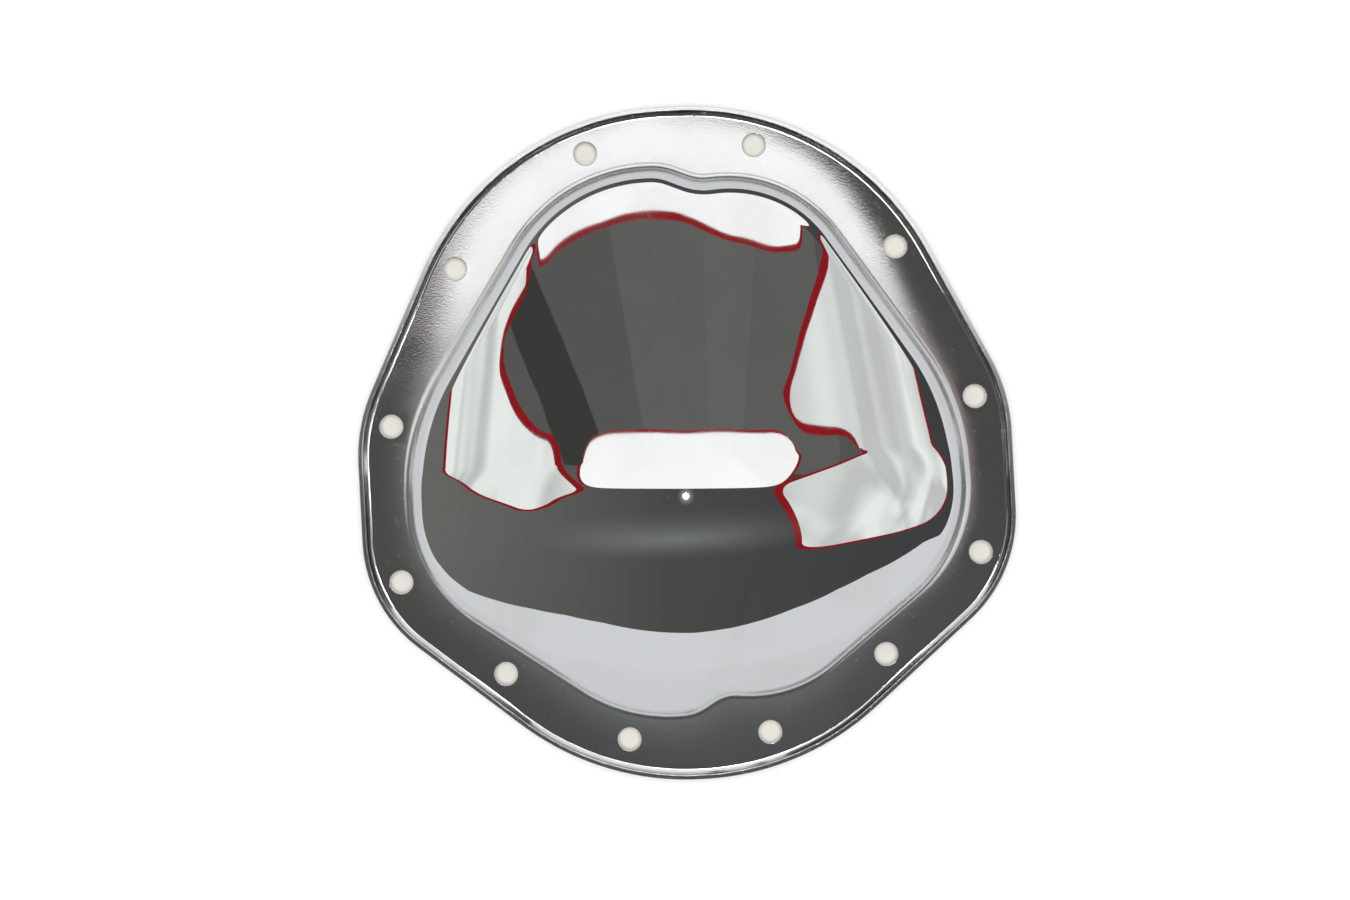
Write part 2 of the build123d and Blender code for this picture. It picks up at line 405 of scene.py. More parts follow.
# Numbers of the points in every block, in its own rows and columns.
def numbered(blocks):
    counts = np.cumsum([0] + [block.size // 3 for block in blocks])
    return [np.arange(first, end).reshape(block.shape[:-1]) for first, end, block in zip(counts, counts[1:], blocks)]


# Mesh from places in millimetres. The corners of all faces stand in one row, quads first.
def facedMesh(name, places, quads, triangles):
    corners = np.concatenate([quads.ravel(), triangles.ravel()])
    starts = np.concatenate([np.arange(len(quads)) * 4, 4 * len(quads) + np.arange(len(triangles)) * 3])
    faced = bpy.data.meshes.new(name)
    faced.vertices.add(len(places))
    faced.vertices.foreach_set("co", (places * millimetre).ravel())
    faced.loops.add(len(corners))
    faced.loops.foreach_set("vertex_index", corners.astype(np.int32))
    faced.polygons.add(len(starts))
    faced.polygons.foreach_set("loop_start", starts.astype(np.int32))
    faced.update(calc_edges=True)
    faced.validate()
    faced.polygons.foreach_set("use_smooth", np.ones(len(starts), bool))
    return faced


# All skins on the same columns, stitched row to row into one closed shell.
def buildShell():
    mesh = meshSettings
    columnAngles = np.linspace(-math.pi, math.pi, mesh["columns"], endpoint=False)
    thickness = sheetSettings["thickness"]
    outerPlaces, outerNormals, softNormals, polish, (peakPlace, peakNormal) = domeSkin(columnAngles)
    # the hidden side is the same skin moved back by the thickness; its crown needs fewer rows
    thinned = np.r_[0:mesh["crownRows"] - 1:mesh["backSkip"], mesh["crownRows"] - 1:len(outerPlaces)]
    backPlaces = (outerPlaces - thickness * outerNormals)[thinned][::-1]
    backNormals = -outerNormals[thinned][::-1]
    lipPlaces, lipNormals, cut = lipSkin(columnAngles)
    flangePlaces, flangeLeans = flangeSkin(outerPlaces[-1], lipPlaces[0])
    # where foot and lip meet the flange they have its normals
    outward = lipPlaces[0] - outerPlaces[-1]
    softNormals[-1] = flangeNormals(outerPlaces[-1], outward, 0.0)
    lipNormals[0] = flangeNormals(lipPlaces[0], outward, 1.0)
    gasketPlaces = flangeSkin(backPlaces[0], lipPlaces[-1])[0]
    gasketNormals = np.broadcast_to([0.0, 0.0, -1.0], gasketPlaces.shape)
    right = np.array(sharesToPoints(sheetSettings["holes"]))
    holeCentres = np.concatenate([right, right * [-1, 1]])
    rimPlaces, rimNormals = holeSkin(holeCentres)
    # and the holes' upper rims have those of the flange's nearest point
    gaps = np.linalg.norm(rimPlaces[:, 0, :, None] - flangePlaces.reshape(-1, 3), axis=-1)
    rimNormals[:, 0] = flangeLeans.reshape(-1, 3)[gaps.argmin(-1)]

    blocks = [outerPlaces, flangePlaces, lipPlaces, gasketPlaces, backPlaces, rimPlaces,
              np.stack([peakPlace, peakPlace - thickness * peakNormal])]
    normalBlocks = [softNormals, flangeLeans, lipNormals, gasketNormals, backNormals, rimNormals,
                    np.stack([peakNormal, -peakNormal])]
    outer, flange, lip, gasket, back, rims, peaks = numbered(blocks)
    places = np.concatenate([block.reshape(-1, 3) for block in blocks])
    normals = np.concatenate([block.reshape(-1, 3) for block in normalBlocks])

    topRows, lowRows = np.concatenate([outer[-1:], flange, lip[:1]]), np.concatenate([back[:1], gasket, lip[-1:]])
    topQuads, topTriangles = flangeFaces(topRows, places, rims[:, 0], holeCentres)
    lowQuads, lowTriangles = flangeFaces(lowRows, places, rims[:, -1], holeCentres)
    holeQuads = [stitched(rim)[:, ::-1] for rim in rims]
    quads = np.concatenate([stitched(outer), topQuads, stitched(lip), lowQuads[:, ::-1], stitched(back), *holeQuads])
    # a fan of triangles closes the crown at its peak, on either side
    fans = [np.stack([ring, np.roll(ring, -1), np.full(len(ring), peak)], 1)
            for ring, peak in ((outer[0], peaks[0]), (back[-1][::-1], peaks[1]))]
    triangles = np.concatenate([*fans, topTriangles, lowTriangles[:, ::-1]])
    shell = facedMesh("coverShell", places, quads, triangles)

    # what the materials read at every point, from 0 to 1
    polished, stretched, worn = np.zeros((3, len(places)))
    polished[outer] = polish[:, None]
    polished[lip[1:]] = 1.0
    polished[peaks[0]] = 1.0
    stretched[flange] = np.linspace(1, 0, mesh["flangeRows"] + 1)[1:-1, None] ** 2
    stretched[outer[-mesh["footRows"]:]] = 1.0
    worn[lip] = cut[:, None]
    worn[rims[:, 1:]] = 1.0
    for name, values in (("polished", polished), ("stretched", stretched), ("worn", worn)):
        layer = shell.attributes.new(name, "FLOAT", "POINT")
        layer.data.foreach_set("value", values.astype(np.float32))
    # faces between two points of the hidden side take the second material
    hidden = np.zeros(len(places), bool)
    for block in (back, gasket, rims[:, -1], lip[-1], peaks[1]):
        hidden[block] = True
    dull = [hidden[faces[:, 0]] & hidden[faces[:, 2]] for faces in (quads, triangles)]
    shell.polygons.foreach_set("material_index", np.concatenate(dull).astype(np.int32))
    shell.normals_split_custom_set_from_vertices(normals)

    cover = bpy.data.objects.new("coverShell", shell)
    bpy.context.scene.collection.objects.link(cover)
    print("shell: %d triangles, %d points" % (2 * len(quads) + len(triangles), len(places)))
    return cover


cover = buildShell()
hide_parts(coverNode)
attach(cover, "root")

# Camera: straight above, with the cover turned a little in its frame, as in the photograph
cameraSettings = {
    "height": 900.0,  # mm above the gasket face
    "centre": (-4.2, -2.7),  # mm, under the middle of the frame
    "turn": 3.0,  # degrees
    "frameWidth": 558.9,  # mm that the frame spans on the flange
    "sensorWidth": 36.0,
}


# The lens is to the sensor's width as the flange's distance is to the frame's width.
def placeCamera():
    view = cameraSettings
    cameraData = bpy.data.cameras.new("camera")
    cameraData.sensor_width = view["sensorWidth"]
    cameraData.lens = view["sensorWidth"] * (view["height"] - sheetSettings["thickness"]) / view["frameWidth"]
    camera = bpy.data.objects.new("camera", cameraData)
    camera.location = [length * millimetre for length in (*view["centre"], view["height"])]
    camera.rotation_euler = (0, 0, -math.radians(view["turn"]))
    bpy.context.scene.collection.objects.link(camera)
    bpy.context.scene.camera = camera


placeCamera()
print("camera: %.0f mm above the gasket face" % cameraSettings["height"])


# New node with its settings, the constants on its sockets and a label.
def node(tree, kind, settings=None, inputs=None, label=None):
    made = tree.nodes.new(kind)
    for name, value in (settings or {}).items():
        setattr(made, name, value)
    for name, value in (inputs or {}).items():
        made.inputs[name].default_value = value
    if label:
        made.label = label
    return made


# One node's output into another's socket.
def link(tree, source, output, target, socket):
    tree.links.new(source.outputs[output], target.inputs[socket])


# Soft folds of hanging cloth
foldSettings = {
    "stretch": (0.9, 0.35, 1.0),
    "turn": (0.0, 0.0, 0.5),  # radians
    "noise": {"Scale": 1.1, "Detail": 1.0, "Roughness": 0.35, "Distortion": 1.0},
    "shadeFrom": 0.35,  # noise up to here has the full shade
    "shadeTo": 0.62,  # and from here on none
}


# Surface that glows in one colour. Where it has folds, noise takes up to that share of its strength.
def glowing(name, colour, strength, folds=0.0):
    material = bpy.data.materials.new(name)
    material.use_nodes = True
    material.cycles.emission_sampling = "NONE"  # mirrored, but no lamp
    tree = material.node_tree
    tree.nodes.clear()
    glow = node(tree, "ShaderNodeEmission", inputs={"Color": (*colour, 1), "Strength": strength})
    link(tree, glow, "Emission", node(tree, "ShaderNodeOutputMaterial"), "Surface")
    if folds:
        place = node(tree, "ShaderNodeTexCoord")
        stretch = node(tree, "ShaderNodeMapping",
                       inputs={"Scale": foldSettings["stretch"], "Rotation": foldSettings["turn"]})
        cloth = node(tree, "ShaderNodeTexNoise", inputs=foldSettings["noise"])
        shade = node(tree, "ShaderNodeMapRange", label="fold shade",
                     inputs={"From Min": foldSettings["shadeFrom"], "From Max": foldSettings["shadeTo"],
                             "To Min": strength * (1 - folds), "To Max": strength})
        link(tree, place, "Object", stretch, "Vector")
        link(tree, stretch, "Vector", cloth, "Vector")
        link(tree, cloth, "Fac", shade, "Value")
        link(tree, shade, "Result", glow, "Strength")
    return material


# Object of the studio. One that isn't seen shows in mirrors only.
def stageObject(name, places, faces, material, seen):
    mesh = bpy.data.meshes.new(name)
    mesh.from_pydata(np.asarray(places).tolist(), [], np.asarray(faces).tolist())
    mesh.materials.append(material)
    item = bpy.data.objects.new(name, mesh)
    item.visible_camera = seen
    item.visible_shadow = seen
    item.visible_diffuse = seen
    bpy.context.scene.collection.objects.link(item)
    return item


# Flat sheet filled inside its outline, level at a height in metres.
def levelSheet(name, outline, height, material, seen=False):
    faces = tessellate_polygon([upright(outline, 0.0).tolist()])
    return stageObject(name, upright(outline, height), faces, material, seen)


# Cutting corners: every edge keeps its middle half, and new short edges join the halves.
def softened(outline, times):
    points = np.array(outline, float)
    for _ in range(times):
        after = np.roll(points, -1, 0)
        points = np.stack([points * 0.75 + after * 0.25, points * 0.25 + after * 0.75], 1).reshape(-1, 2)
    return points


# Outward directions at an outline's points: across the line from the point before to the point after.
def outwards(outline):
    after = np.roll(outline, -1, 0)
    along = after - np.roll(outline, 1, 0)
    across = np.stack([along[:, 1], -along[:, 0]], 1) / np.linalg.norm(along, axis=1, keepdims=True)
    return across * np.sign((outline[:, 0] * after[:, 1] - outline[:, 1] * after[:, 0]).sum())


# White sheets hang level over the cover and are seen in the chrome only, where their edges draw the pattern on the
# dome. Outlines are in metres along the cover's own X and Y, from which the camera is turned a little.
hungSheets = {
    "level": 2.0,
    "rounding": 3,  # times that an outline's corners are cut
    "barSheet": [(-1.04, 1.12), (-0.92, 1.13), (-0.43, 1.07), (0.06, 1.05), (0.65, 1.08), (1.08, 1.14), (1.20, 1.12),
                 (1.12, 0.75), (0.95, 0.30), (0.82, 0.15), (0.60, 0.13), (0.03, 0.19), (-0.61, 0.29), (-0.92, 0.37),
                 (-1.04, 0.60), (-1.08, 1.08)],
    "backSheet": [(-1.90, 1.70), (-1.75, 1.65), (-1.45, 1.60), (-1.08, 1.53), (-0.74, 1.48), (-0.26, 1.435),
                  (0.2, 1.42), (0.50, 1.42), (0.77, 1.44), (1.17, 1.50), (1.50, 1.58), (1.70, 1.64), (1.80, 1.76),
                  (3.2, 3.0), (1.7, 3.3), (0.0, 3.4), (-1.7, 3.3), (-3.2, 3.0)],
    "leftSheet": [(-2.05, 1.71), (-2.8, 2.4), (-4.1, 3.4), (-4.9, 2.7), (-4.9, 2.2), (-4.3, 1.65), (-3.5, 1.15),
                  (-2.80, 0.48), (-2.10, 0.06), (-1.75, -0.20), (-1.45, -0.05), (-1.30, 0.15), (-1.04, 0.30),
                  (-1.12, 0.48), (-1.36, 0.98), (-1.40, 1.20), (-1.77, 1.30), (-2.2, 1.45), (-2.55, 1.62),
                  (-2.74, 1.73), (-2.66, 1.79), (-2.26, 1.73)],
    "rightSheet": [(2.32, 1.80), (2.05, 1.66), (1.66, 1.47), (1.38, 1.33), (1.14, 1.21), (1.22, 1.18), (1.56, 1.24),
                   (1.98, 1.33), (2.22, 1.36), (2.37, 1.32), (2.34, 1.20), (2.14, 1.07), (1.74, 0.76), (1.20, 0.38),
                   (0.84, 0.12), (1.00, -0.45), (1.20, -1.30), (1.34, -2.05), (2.33, -2.06), (3.45, -2.18),
                   (5.1, -2.1), (5.4, 0.5), (5.3, 2.4), (4.4, 3.5), (3.2, 2.6)],
    "whiteTint": (1.0, 1.0, 0.985),
    "whiteGlow": 1.2,
    "whiteFolds": 0.08,  # share of the glow that the folds take
    "foldedTint": (0.97, 1.0, 0.965),
    "foldedGlow": 1.02,
    "foldedFolds": 0.34,
    # dark red binding round every sheet: its width along X and Y, and how much both grow per metre away from a
    # point and its mirror image
    "bindings": {"barSheet": (0.04, 0.007, 0.0), "backSheet": (0.03, 0.01, 0.0), "leftSheet": (0.085, 0.01, 0.03),
                 "rightSheet": (0.08, 0.008, 0.035)},
    "bindingStart": (1.2, 1.3),
    "bindingRed": (0.30, 0.012, 0.016),
    "bindingGlow": 1.0,
    "bindingGap": 0.004,  # above the sheets
}


# The binding is a larger sheet above each: the outline moved outwards by the binding's width there.
def hangSheets():
    sheets = hungSheets
    white = glowing("whiteSheet", sheets["whiteTint"], sheets["whiteGlow"], sheets["whiteFolds"])
    folded = glowing("foldedSheet", sheets["foldedTint"], sheets["foldedGlow"], sheets["foldedFolds"])
    red = glowing("redBinding", sheets["bindingRed"], sheets["bindingGlow"])
    for name, material in (("barSheet", white), ("backSheet", white), ("leftSheet", folded), ("rightSheet", folded)):
        outline = softened(sheets[name], sheets["rounding"])
        levelSheet(name, outline, sheets["level"], material)
        across, up, growth = sheets["bindings"][name]
        away = np.abs(outline * [np.sign(outline[0, 0]), 1] - sheets["bindingStart"])
        bound = outline + outwards(outline) * ([across, up] + growth * away)
        levelSheet(name + "Binding", bound, sheets["level"] + sheets["bindingGap"], red)


# Grey folding screen, level above the gap between bar and back sheet
screenSettings = {
    "level": 2.1,
    # near and far end of every joint
    "near": [(-3.4, 0.8), (-1.05, 1.05), (-0.65, 1.05), (-0.10, 0.8), (0.15, 0.8), (0.28, 0.8), (1.6, 0.3), (3.0, 0.3)],
    "far": [(-3.4, 1.9), (-2.75, 1.9), (-2.30, 1.9), (-1.12, 1.9), (0.48, 1.9), (1.37, 1.9), (2.1, 1.9), (3.0, 1.9)],
    "greys": [0.115, 0.052, 0.115, 0.142, 0.150, 0.134, 0.105],  # one for each leaf
    "tint": (1.0, 0.99, 0.93),
}


# Each leaf spans two neighbouring joints.
def hangScreen():
    near, far = screenSettings["near"], screenSettings["far"]
    for index, grey in enumerate(screenSettings["greys"]):
        leaf = np.array([near[index], near[index + 1], far[index + 1], far[index]])
        paper = glowing("screenGrey%d" % index, screenSettings["tint"], grey)
        levelSheet("screenLeaf%d" % index, leaf, screenSettings["level"], paper)


# Paper wall round the floor
wallSettings = {
    # its top edge: degrees clockwise from the Y axis, degrees above the floor
    "edge": [(-180, 21), (-170, 21.5), (-160, 22), (-152, 21), (-145, 18.5), (-138, 15), (-132, 11.8), (-124, 10.8),
             (-97, 10.8), (-60, 13), (60, 13), (97, 10.8), (120, 13), (130, 17), (139, 20.5), (147, 22), (158, 22.5),
             (171, 21.5), (180, 21)],
    "distance": 3.4,
    "strips": 240,
    "foot": -0.05,  # starts a little under the floor
    "tint": (0.975, 0.99, 1.0),
    "glow": (0.70, 0.79),  # at the floor, and from the glow height up
    "glowHeight": 0.5,
}


# Ring of upright strips: each top is the distance times the tangent of the edge's angle there.
def standWall():
    wall = wallSettings
    edge = np.radians(np.array(wall["edge"], float))
    azimuths = np.linspace(-math.pi, math.pi, wall["strips"] + 1)
    ring = np.stack([np.sin(azimuths), np.cos(azimuths)], 1) * wall["distance"]
    tops = np.tan(np.interp(azimuths, edge[:, 0], edge[:, 1])) * wall["distance"]
    low = np.arange(wall["strips"])
    high = low + wall["strips"] + 1
    paper = glowing("paperWall", wall["tint"], wall["glow"][1])
    tree = paper.node_tree
    place = node(tree, "ShaderNodeTexCoord")
    split = node(tree, "ShaderNodeSeparateXYZ")
    fade = node(tree, "ShaderNodeMapRange", {"interpolation_type": "SMOOTHSTEP"},
                {"From Max": wall["glowHeight"], "To Min": wall["glow"][0], "To Max": wall["glow"][1]},
                label="brighter upwards")
    link(tree, place, "Object", split, "Vector")
    link(tree, split, "Z", fade, "Value")
    link(tree, fade, "Result", tree.nodes["Emission"], "Strength")
    stageObject("paperWall", np.concatenate([upright(ring, wall["foot"]), upright(ring, tops)]),
                np.stack([low, low + 1, high + 1, high], 1), paper, seen=False)


# Lights: radii and places in metres, rises in mm above the camera
lampSettings = {
    # lamp at the lens: longer up the picture, as the dome is bent more that way
    "flashSides": 24,
    "flashRadii": (0.011, 0.03),
    "flashRise": 10.0,
    "flashTint": (1.0, 1.0, 1.0),
    "flashGlow": 45.0,
    # faint halo round it
    "haloRadii": (0.04, 0.12),
    "haloRise": 12.0,
    "haloGlow": 0.6,
    # faint light in front of the cover that lifts the near side of the flange
    "frontMiddle": (-0.1, -1.1),
    "frontRadii": (1.9, 0.95),
    "frontLevel": 1.96,  # under the sheets
    "frontTint": (0.9, 0.97, 1.0),
    "frontGlow": 0.15,
    "softSides": 48,
    # light on the floor that isn't seen in the chrome
    "ceilingWatts": 190.0,
    "ceilingSize": 5.0,
    "ceilingHeight": 3.4,
}


# Clear disc that only adds light: its glow falls with the square of the way left to its rim.
def softLight(name, middle, radii, glow, tint, height):
    material = glowing(name + "Glow", tint, 0.0)
    tree = material.node_tree
    place = node(tree, "ShaderNodeTexCoord")
    centred = node(tree, "ShaderNodeMapping", inputs={"Scale": (1 / radii[0], 1 / radii[1], 0.0),
                                                      "Location": (-middle[0] / radii[0], -middle[1] / radii[1], 0.0)})
    ball = node(tree, "ShaderNodeTexGradient", {"gradient_type": "QUADRATIC_SPHERE"})
    fade = node(tree, "ShaderNodeMath", {"operation": "MULTIPLY"}, {1: glow}, label="fades to its rim")
    over = node(tree, "ShaderNodeAddShader")
    link(tree, place, "Object", centred, "Vector")
    link(tree, centred, "Vector", ball, "Vector")
    link(tree, ball, "Fac", fade, 0)
    link(tree, fade, "Value", tree.nodes["Emission"], "Strength")
    link(tree, tree.nodes["Emission"], "Emission", over, 0)
    link(tree, node(tree, "ShaderNodeBsdfTransparent"), "BSDF", over, 1)
    link(tree, over, "Shader", tree.nodes["Material Output"], "Surface")
    levelSheet(name, unitCircle(lampSettings["softSides"]) * radii + middle, height, material)


# Flash and halo hang round the lens, a little behind it, and the ceiling light over everything.
def hangLamps():
    lamps = lampSettings
    lens = np.array(cameraSettings["centre"]) * millimetre
    height = cameraSettings["height"]
    levelSheet("flashDisc", unitCircle(lamps["flashSides"]) * lamps["flashRadii"] + lens,
               (height + lamps["flashRise"]) * millimetre, glowing("flashGlow", lamps["flashTint"], lamps["flashGlow"]))
    softLight("halo", lens, lamps["haloRadii"], lamps["haloGlow"], lamps["flashTint"],
              (height + lamps["haloRise"]) * millimetre)
    softLight("frontLight", lamps["frontMiddle"], lamps["frontRadii"], lamps["frontGlow"], lamps["frontTint"],
              lamps["frontLevel"])
    ceiling = bpy.data.lights.new("ceilingLight", "AREA")
    ceiling.shape = "DISK"
    ceiling.size = lamps["ceilingSize"]
    ceiling.energy = lamps["ceilingWatts"]
    ceilingObject = bpy.data.objects.new("ceilingLight", ceiling)
    ceilingObject.location = (0, 0, lamps["ceilingHeight"])
    ceilingObject.visible_glossy = False
    ceilingObject.visible_camera = False
    bpy.context.scene.collection.objects.link(ceilingObject)


# Floor: pale paint, with a beige sheet of board under the cover that shows through the bolt holes
floorSettings = {
    "size": 8.0,  # metres
    "drop": 0.0006,  # metres from the gasket face to the board, and from there to the paint
    "paint": (0.93, 0.93, 0.92),
    "board": (0.66, 0.64, 0.59),
    "boardInset": 1.5,  # mm inside the flange's outline
    "boardStep": 12,  # the board keeps one point of the outline in so many
    "roughness": 0.8,
    "shine": 0.2,
}


# Matt paint or paper of one colour.
def painted(name, colour):
    paint = bpy.data.materials.new(name)
    paint.use_nodes = True
    surface = paint.node_tree.nodes["Principled BSDF"]
    surface.inputs["Base Color"].default_value = (*colour, 1)
    surface.inputs["Roughness"].default_value = floorSettings["roughness"]
    surface.inputs["Specular IOR Level"].default_value = floorSettings["shine"]
    return paint


# The floor is a square, and the board has the flange's outline moved inwards.
def layFloor():
    half, drop = floorSettings["size"] / 2, floorSettings["drop"]
    square = np.array([(-half, -half), (half, -half), (half, half), (-half, half)])
    levelSheet("floor", square, -2 * drop, painted("floorPaint", floorSettings["paint"]), seen=True)
    rim, normal = flangeOutline()
    outline = (rim - normal * floorSettings["boardInset"])[::floorSettings["boardStep"]] * millimetre
    levelSheet("floorBoard", outline, -drop, painted("boardPaper", floorSettings["board"]), seen=True)


# Room beyond the sheets: each grey with its place on the way from left to right, from 0 to 1
roomSettings = {
    "left": (0.05, (0.165, 0.165, 0.152)),
    "middle": (0.45, (0.083, 0.083, 0.079)),
    "right": (0.9, (0.060, 0.061, 0.062)),
}


# Reflections see the greys, the camera sees plain white behind the cover.
def buildRoom():
    room = bpy.data.worlds.new("room")
    room.use_nodes = True
    tree = room.node_tree
    tree.nodes.clear()
    direction = node(tree, "ShaderNodeTexCoord")
    split = node(tree, "ShaderNodeSeparateXYZ")
    across = node(tree, "ShaderNodeMapRange", inputs={"From Min": -1.0, "From Max": 1.0})
    ramp = node(tree, "ShaderNodeValToRGB", label="grey from left to right")
    stops = ramp.color_ramp.elements
    for stop, (place, grey) in zip(stops, (roomSettings["left"], roomSettings["right"])):
        stop.position, stop.color = place, (*grey, 1)
    middlePlace, middleGrey = roomSettings["middle"]
    stops.new(middlePlace).color = (*middleGrey, 1)
    dark = node(tree, "ShaderNodeBackground")
    plain = node(tree, "ShaderNodeBackground", inputs={"Color": (1, 1, 1, 1), "Strength": 1.0})
    path = node(tree, "ShaderNodeLightPath")
    mix = node(tree, "ShaderNodeMixShader")
    link(tree, direction, "Generated", split, "Vector")
    link(tree, split, "X", across, "Value")
    link(tree, across, "Result", ramp, "Fac")
    link(tree, ramp, "Color", dark, "Color")
    link(tree, path, "Is Camera Ray", mix, 0)
    link(tree, dark, "Background", mix, 1)
    link(tree, plain, "Background", mix, 2)
    link(tree, mix, "Shader", node(tree, "ShaderNodeOutputWorld"), "Surface")
    bpy.context.scene.world = room


hangSheets()
hangScreen()
standWall()
hangLamps()
layFloor()
buildRoom()
bpy.context.scene.view_settings.view_transform = "Standard"
print("studio: sheets hung, paper wall, screen, lamps and floor in place")


# Shader groups. Each takes the object's coordinates in metres.
def group(name, inputs, outputs):
    tree = bpy.data.node_groups.new(name, "ShaderNodeTree")
    for socket, kind, value in inputs:
        made = tree.interface.new_socket(socket, in_out="INPUT", socket_type=kind)
        if value is not None:
            made.default_value = value
    for socket, kind in outputs:
        tree.interface.new_socket(socket, in_out="OUTPUT", socket_type=kind)
    return tree, tree.nodes.new("NodeGroupInput"), tree.nodes.new("NodeGroupOutput")


# Noise takes how many fit in a metre: one over the size.
def perMetre(tree, given, size):
    rate = node(tree, "ShaderNodeMath", {"operation": "DIVIDE"}, {0: 1.0}, label="one over " + size.lower())
    link(tree, given, size, rate, 1)
    return rate


sheetSurfaceSettings = {
    "noiseRoughness": 0.55,
    "waveDetail": 1.0,
    "grainDetail": 3.0,
}


# Waves left by the press and the grain of the sheet under the plating, as one normal
def sheetSurfaceGroup():
    surface = sheetSurfaceSettings
    tree, given, result = group("sheetSurface",
                                [("Place", "NodeSocketVector", None),
                                 ("Wave Size", "NodeSocketFloat", 0.03), ("Wave Depth", "NodeSocketFloat", 0.00005),
                                 ("Grain Size", "NodeSocketFloat", 0.0009),
                                 ("Grain Depth", "NodeSocketFloat", 0.000002),
                                 ("Normal", "NodeSocketVector", None)],
                                [("Normal", "NodeSocketVector")])
    bumped = given, "Normal"
    for form, detail in (("Wave", surface["waveDetail"]), ("Grain", surface["grainDetail"])):
        rate = perMetre(tree, given, form + " Size")
        noise = node(tree, "ShaderNodeTexNoise", inputs={"Detail": detail, "Roughness": surface["noiseRoughness"]})
        bump = node(tree, "ShaderNodeBump", inputs={"Strength": 1.0})
        link(tree, rate, "Value", noise, "Scale")
        link(tree, given, "Place", noise, "Vector")
        link(tree, noise, "Fac", bump, "Height")
        link(tree, given, form + " Depth", bump, "Distance")
        link(tree, *bumped, bump, "Normal")
        bumped = bump, "Normal"
    link(tree, *bumped, result, "Normal")
    return tree


wipingSettings = {
    # each set of lines: its turn in radians, and how many times longer than wide its lines are
    "lineSets": [((0.2, 0.1, 0.7), 14.0), ((0.2, 0.1, -1.1), 22.0)],
    "lineNoise": {"Detail": 2.0, "Distortion": 0.4},
    "lineRidge": {"From Min": 0.655, "From Max": 0.70},  # noise from none of a line to all of it
    "smearNoise": {"Detail": 4.0, "Roughness": 0.6, "Distortion": 0.8},
    "smearRidge": {"From Min": 0.45, "From Max": 0.75},
}


# Wiping marks: hair-fine lines in two directions and cloudy smears, both as masks from 0 to 1
def wipingMarksGroup():
    tree, given, result = group("wipingMarks",
                                [("Place", "NodeSocketVector", None), ("Line Spacing", "NodeSocketFloat", 0.004),
                                 ("Smear Size", "NodeSocketFloat", 0.05)],
                                [("Lines", "NodeSocketFloat"), ("Smears", "NodeSocketFloat")])
    rate = perMetre(tree, given, "Line Spacing")
    lines = node(tree, "ShaderNodeMath", {"operation": "MAXIMUM"}, label="either set of lines")
    for index, (turn, stretch) in enumerate(wipingSettings["lineSets"]):
        turned = node(tree, "ShaderNodeMapping", inputs={"Rotation": turn, "Scale": (1.0, 1.0 / stretch, 1.0)})
        noise = node(tree, "ShaderNodeTexNoise", inputs=wipingSettings["lineNoise"])
        ridge = node(tree, "ShaderNodeMapRange", inputs=wipingSettings["lineRidge"])
        link(tree, given, "Place", turned, "Vector")
        link(tree, turned, "Vector", noise, "Vector")
        link(tree, rate, "Value", noise, "Scale")
        link(tree, noise, "Fac", ridge, "Value")
        link(tree, ridge, "Result", lines, index)
    link(tree, lines, "Value", result, "Lines")
    clouds = node(tree, "ShaderNodeTexNoise", inputs=wipingSettings["smearNoise"])
    smears = node(tree, "ShaderNodeMapRange", inputs=wipingSettings["smearRidge"])
    link(tree, perMetre(tree, given, "Smear Size"), "Value", clouds, "Scale")
    link(tree, given, "Place", clouds, "Vector")
    link(tree, clouds, "Fac", smears, "Value")
    link(tree, smears, "Result", result, "Smears")
    return tree


# From low to high as the mask goes from 0 to 1.
def mixed(tree, low, high, mask, output):
    mix = node(tree, "ShaderNodeMix", {"data_type": "FLOAT"}, {"A": low, "B": high})
    link(tree, mask, output, mix, "Factor")
    return mix


# The first value plus the weight times the second.
def added(tree, first, firstOutput, second, secondOutput, weight):
    total = node(tree, "ShaderNodeMath", {"operation": "MULTIPLY_ADD"}, {1: weight})
    link(tree, second, secondOutput, total, 0)
    link(tree, first, firstOutput, total, 2)
    return total


plateSettings = {
    "chrome": (0.79, 0.80, 0.81),
    "chromeSmeared": (0.74, 0.745, 0.745),
    "domeRoughness": 0.012,
    "flangeRoughness": 0.05,
    # what is added to them where the sheet was stretched, on cut edges and under wiping marks
    "stretchRoughness": 0.16,
    "cutRoughness": 0.16,
    "lineRoughness": 0.006,
    "smearRoughness": 0.012,
    "domeWave": (0.07, 0.00004),  # size and depth, metres
    "domeGrain": (0.0012, 0.0000002),
    "flangeWave": (0.035, 0.00014),
    "flangeGrain": (0.0006, 0.00002),
    "marks": {"Line Spacing": 0.003, "Smear Size": 0.045},
    # hidden side
    "dull": (0.47, 0.465, 0.45),
    "dullDark": (0.30, 0.29, 0.27),
    "dullRoughness": 0.3,
    "dullDarkRoughness": 0.45,
    "dullWave": (0.03, 0.0001),
    "dullGrain": (0.0007, 0.000012),
    "dullMarks": {"Line Spacing": 0.0022, "Smear Size": 0.028},
}


# Bare metal with wiping marks and relief, both on the object's coordinates
def newMaterial(name, groups, markSizes, reliefSizes):
    material = bpy.data.materials.new(name)
    material.use_nodes = True
    tree = material.node_tree
    surface = tree.nodes["Principled BSDF"]
    surface.inputs["Metallic"].default_value = 1.0
    place = node(tree, "ShaderNodeTexCoord")
    marks = node(tree, "ShaderNodeGroup", {"node_tree": groups["marks"]}, markSizes)
    relief = node(tree, "ShaderNodeGroup", {"node_tree": groups["relief"]}, reliefSizes)
    link(tree, place, "Object", marks, "Place")
    link(tree, place, "Object", relief, "Place")
    link(tree, relief, "Normal", surface, "Normal")
    return material, tree, surface, marks, relief


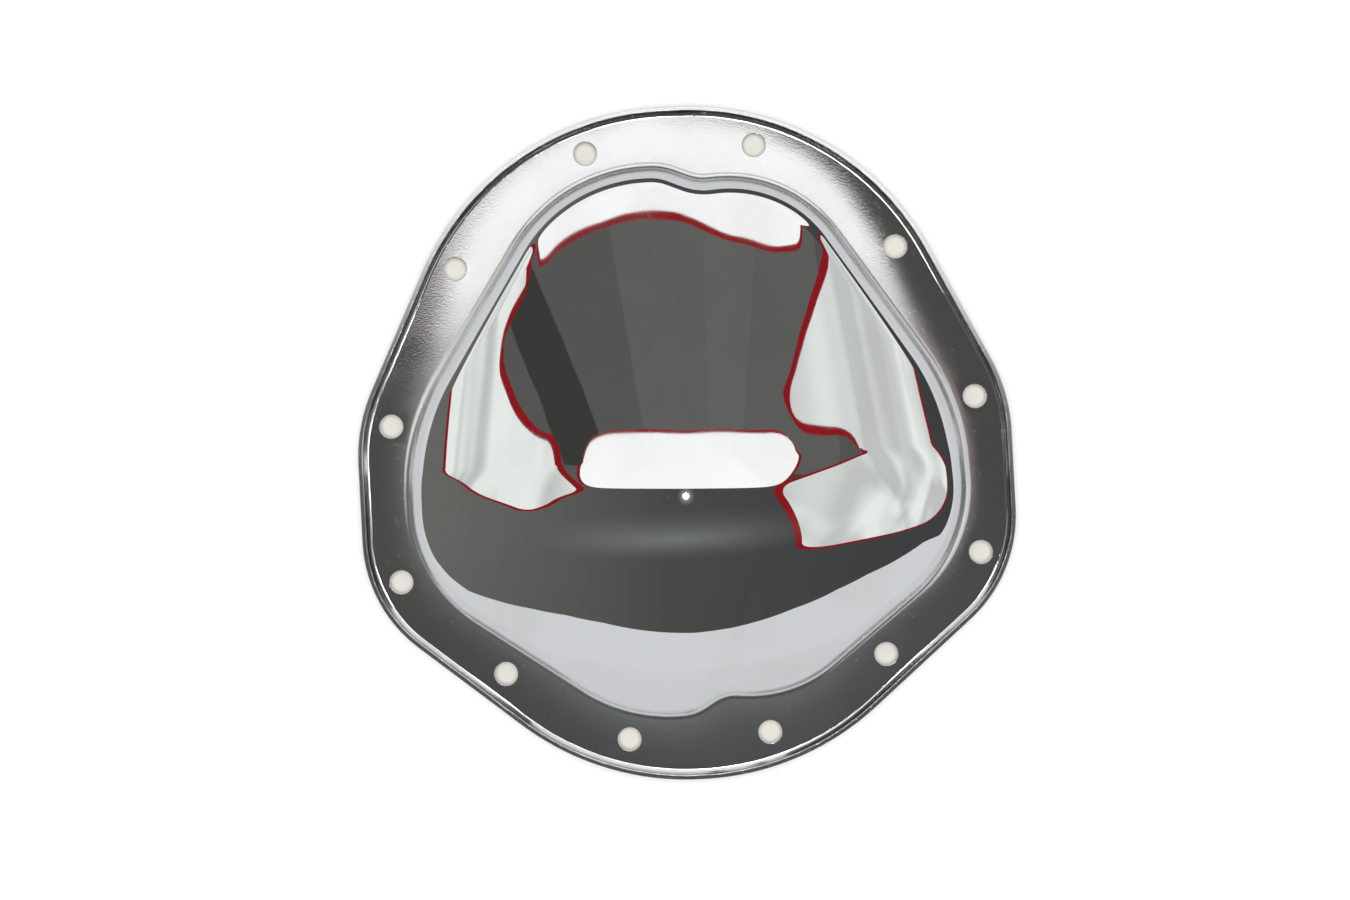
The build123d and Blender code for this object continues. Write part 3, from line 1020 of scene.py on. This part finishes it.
# Base colour: the first between the smears, the second under them
def tinted(tree, surface, marks, clean, smeared):
    tint = node(tree, "ShaderNodeMix", {"data_type": "RGBA"}, label="colour under smears")
    tint.inputs["A"].default_value = (*clean, 1)
    tint.inputs["B"].default_value = (*smeared, 1)
    link(tree, marks, "Smears", tint, "Factor")
    link(tree, tint, "Result", surface, "Base Color")


# Outside: mirror bright on dome and lip, grainier on the flange, a little matt on punched and cut edges
def polishedChrome(groups):
    plate = plateSettings
    sizes = {"Wave Size": plate["flangeWave"][0], "Grain Size": plate["flangeGrain"][0]}
    material, tree, surface, marks, relief = newMaterial("polishedChrome", groups, plate["marks"], sizes)
    dome = node(tree, "ShaderNodeAttribute", {"attribute_name": "polished"}, label="1 on dome and lip, 0 on the flange")
    drawn = node(tree, "ShaderNodeAttribute", {"attribute_name": "stretched"}, label="1 where the sheet was stretched")
    cut = node(tree, "ShaderNodeAttribute", {"attribute_name": "worn"}, label="1 on cut edges")
    for depth, flange, polished in (("Wave Depth", "flangeWave", "domeWave"),
                                    ("Grain Depth", "flangeGrain", "domeGrain")):
        link(tree, mixed(tree, plate[flange][1], plate[polished][1], dome, "Fac"), "Result", relief, depth)
    bare = mixed(tree, plate["flangeRoughness"], plate["domeRoughness"], dome, "Fac")
    hazed = added(tree, bare, "Result", drawn, "Fac", plate["stretchRoughness"])
    edged = added(tree, hazed, "Value", cut, "Fac", plate["cutRoughness"])
    lined = added(tree, edged, "Value", marks, "Lines", plate["lineRoughness"])
    smeared = added(tree, lined, "Value", marks, "Smears", plate["smearRoughness"])
    link(tree, smeared, "Value", surface, "Roughness")
    tinted(tree, surface, marks, plate["chrome"], plate["chromeSmeared"])
    return material


# Hidden side: thin dull plating over the drawn sheet, cloudy and darker in patches
def dullPlate(groups):
    plate = plateSettings
    form = {"Wave Size": plate["dullWave"][0], "Wave Depth": plate["dullWave"][1],
            "Grain Size": plate["dullGrain"][0], "Grain Depth": plate["dullGrain"][1]}
    material, tree, surface, marks, _ = newMaterial("dullPlate", groups, plate["dullMarks"], form)
    patches = mixed(tree, plate["dullRoughness"], plate["dullDarkRoughness"], marks, "Smears")
    link(tree, patches, "Result", surface, "Roughness")
    tinted(tree, surface, marks, plate["dull"], plate["dullDark"])
    return material


plateGroups = {"relief": sheetSurfaceGroup(), "marks": wipingMarksGroup()}
for finish in (polishedChrome, dullPlate):
    cover.data.materials.append(finish(plateGroups))
print("materials: polished chrome outside, dull plate on the hidden side")
